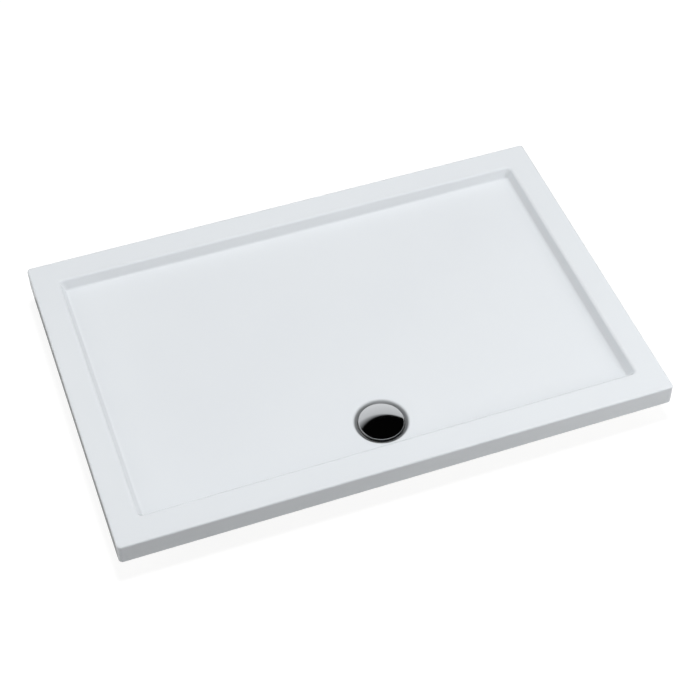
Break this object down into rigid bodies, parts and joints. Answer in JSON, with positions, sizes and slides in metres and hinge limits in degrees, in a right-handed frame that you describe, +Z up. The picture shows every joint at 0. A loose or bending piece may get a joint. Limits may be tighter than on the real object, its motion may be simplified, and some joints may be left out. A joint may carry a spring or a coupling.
{
  "type": "shower tray",
  "caption": "Low rectangular shower tray with a shallow basin, a domed waste cover near the front edge, a water trap below and screw feet.",
  "frame": {"origin": "on the floor, under the middle of the tray", "axes": "+X along the long side, to the right seen from the waste's side; +Y from the front edge with the waste to the back; +Z up"},
  "size_m": [1.2, 0.8, 0.108],
  "materials": {
    "acrylic": "high gloss white acrylic",
    "glass_fibre": "sprayed glass fibre in resin, rough",
    "chipboard": "sanded chipboard",
    "timber": "planed softwood",
    "black_plastic": "moulded, fine texture",
    "white_plastic": "moulded polypropylene",
    "grey_plastic": "moulded, satin",
    "zinc_steel": "bright zinc plating",
    "polished_steel": "polished stainless steel",
    "chrome": "mirror chrome",
    "black_rubber": "moulded rubber"
  },
  "bodies": {
    "root": {"tray_shell": "acrylic", "glass_fibre_backing": "glass_fibre", "floor_board": "chipboard", "underside_laminate": "glass_fibre", "rim_batten_front": "timber", "rim_batten_back": "timber", "rim_batten_left": "timber", "rim_batten_right": "timber", "socket_screws": "zinc_steel", "lock_nuts": "zinc_steel", "foot_socket_back_left": "black_plastic", "foot_socket_back_right": "black_plastic", "foot_socket_middle_left": "black_plastic", "foot_socket_middle_right": "black_plastic", "foot_socket_front_left": "black_plastic", "foot_socket_front_right": "black_plastic", "foot_socket_waste_left": "black_plastic", "foot_socket_waste_right": "black_plastic", "waste_flange": "polished_steel", "flange_screws": "polished_steel", "top_gasket": "black_rubber", "bottom_gasket": "black_rubber", "trap_body": "white_plastic", "outlet_nut": "white_plastic", "outlet_seal": "black_rubber"},
    "foot_pad_back_left": {"foot_pad_back_left": "black_plastic"},
    "foot_stud_back_left": {"foot_stud_back_left": "zinc_steel"},
    "foot_pad_back_right": {"foot_pad_back_right": "black_plastic"},
    "foot_stud_back_right": {"foot_stud_back_right": "zinc_steel"},
    "foot_pad_middle_left": {"foot_pad_middle_left": "black_plastic"},
    "foot_stud_middle_left": {"foot_stud_middle_left": "zinc_steel"},
    "foot_pad_middle_right": {"foot_pad_middle_right": "black_plastic"},
    "foot_stud_middle_right": {"foot_stud_middle_right": "zinc_steel"},
    "foot_pad_front_left": {"foot_pad_front_left": "black_plastic"},
    "foot_stud_front_left": {"foot_stud_front_left": "zinc_steel"},
    "foot_pad_front_right": {"foot_pad_front_right": "black_plastic"},
    "foot_stud_front_right": {"foot_stud_front_right": "zinc_steel"},
    "foot_pad_waste_left": {"foot_pad_waste_left": "black_plastic"},
    "foot_stud_waste_left": {"foot_stud_waste_left": "zinc_steel"},
    "foot_pad_waste_right": {"foot_pad_waste_right": "black_plastic"},
    "foot_stud_waste_right": {"foot_stud_waste_right": "zinc_steel"},
    "insert": {"trap_insert": "white_plastic", "insert_o_ring": "black_rubber"},
    "strainer": {"hair_strainer": "grey_plastic"},
    "cover": {"dome_cover": "chrome", "cover_carrier": "grey_plastic"}
  },
  "joints": [
    {"name": "foot_height_back_left", "type": "slide", "parent": "root", "child": "foot_pad_back_left", "axis": [0, 0, -1], "range_m": [0, 0.012]},
    {"name": "foot_turn_back_left", "type": "hinge", "parent": "foot_pad_back_left", "child": "foot_stud_back_left", "pos_m": [-0.47, 0.29, 0.04], "axis": [0, 0, -1], "range_deg": [0, 2469]},
    {"name": "foot_height_back_right", "type": "slide", "parent": "root", "child": "foot_pad_back_right", "axis": [0, 0, -1], "range_m": [0, 0.012]},
    {"name": "foot_turn_back_right", "type": "hinge", "parent": "foot_pad_back_right", "child": "foot_stud_back_right", "pos_m": [0.47, 0.29, 0.04], "axis": [0, 0, -1], "range_deg": [0, 2469]},
    {"name": "foot_height_middle_left", "type": "slide", "parent": "root", "child": "foot_pad_middle_left", "axis": [0, 0, -1], "range_m": [0, 0.012]},
    {"name": "foot_turn_middle_left", "type": "hinge", "parent": "foot_pad_middle_left", "child": "foot_stud_middle_left", "pos_m": [-0.17, 0.15, 0.04], "axis": [0, 0, -1], "range_deg": [0, 2469]},
    {"name": "foot_height_middle_right", "type": "slide", "parent": "root", "child": "foot_pad_middle_right", "axis": [0, 0, -1], "range_m": [0, 0.012]},
    {"name": "foot_turn_middle_right", "type": "hinge", "parent": "foot_pad_middle_right", "child": "foot_stud_middle_right", "pos_m": [0.17, 0.15, 0.04], "axis": [0, 0, -1], "range_deg": [0, 2469]},
    {"name": "foot_height_front_left", "type": "slide", "parent": "root", "child": "foot_pad_front_left", "axis": [0, 0, -1], "range_m": [0, 0.012]},
    {"name": "foot_turn_front_left", "type": "hinge", "parent": "foot_pad_front_left", "child": "foot_stud_front_left", "pos_m": [-0.47, -0.29, 0.04], "axis": [0, 0, -1], "range_deg": [0, 2469]},
    {"name": "foot_height_front_right", "type": "slide", "parent": "root", "child": "foot_pad_front_right", "axis": [0, 0, -1], "range_m": [0, 0.012]},
    {"name": "foot_turn_front_right", "type": "hinge", "parent": "foot_pad_front_right", "child": "foot_stud_front_right", "pos_m": [0.47, -0.29, 0.04], "axis": [0, 0, -1], "range_deg": [0, 2469]},
    {"name": "foot_height_waste_left", "type": "slide", "parent": "root", "child": "foot_pad_waste_left", "axis": [0, 0, -1], "range_m": [0, 0.012]},
    {"name": "foot_turn_waste_left", "type": "hinge", "parent": "foot_pad_waste_left", "child": "foot_stud_waste_left", "pos_m": [-0.17, -0.29, 0.04], "axis": [0, 0, -1], "range_deg": [0, 2469]},
    {"name": "foot_height_waste_right", "type": "slide", "parent": "root", "child": "foot_pad_waste_right", "axis": [0, 0, -1], "range_m": [0, 0.012]},
    {"name": "foot_turn_waste_right", "type": "hinge", "parent": "foot_pad_waste_right", "child": "foot_stud_waste_right", "pos_m": [0.17, -0.29, 0.04], "axis": [0, 0, -1], "range_deg": [0, 2469]},
    {"name": "insert_lift", "type": "slide", "parent": "root", "child": "insert", "axis": [0, 0, 1], "range_m": [0, 0.1]},
    {"name": "strainer_lift", "type": "slide", "parent": "insert", "child": "strainer", "axis": [0, 0, 1], "range_m": [0, 0.06]},
    {"name": "cover_lift", "type": "slide", "parent": "strainer", "child": "cover", "axis": [0, 0, 1], "range_m": [0, 0.05]}
  ],
  "couplings": [
    {"joint": "foot_turn_back_left", "follows": "foot_height_back_left", "rad_per_m": 3590.4},
    {"joint": "foot_turn_back_right", "follows": "foot_height_back_right", "rad_per_m": 3590.4},
    {"joint": "foot_turn_middle_left", "follows": "foot_height_middle_left", "rad_per_m": 3590.4},
    {"joint": "foot_turn_middle_right", "follows": "foot_height_middle_right", "rad_per_m": 3590.4},
    {"joint": "foot_turn_front_left", "follows": "foot_height_front_left", "rad_per_m": 3590.4},
    {"joint": "foot_turn_front_right", "follows": "foot_height_front_right", "rad_per_m": 3590.4},
    {"joint": "foot_turn_waste_left", "follows": "foot_height_waste_left", "rad_per_m": 3590.4},
    {"joint": "foot_turn_waste_right", "follows": "foot_height_waste_right", "rad_per_m": 3590.4}
  ]
}
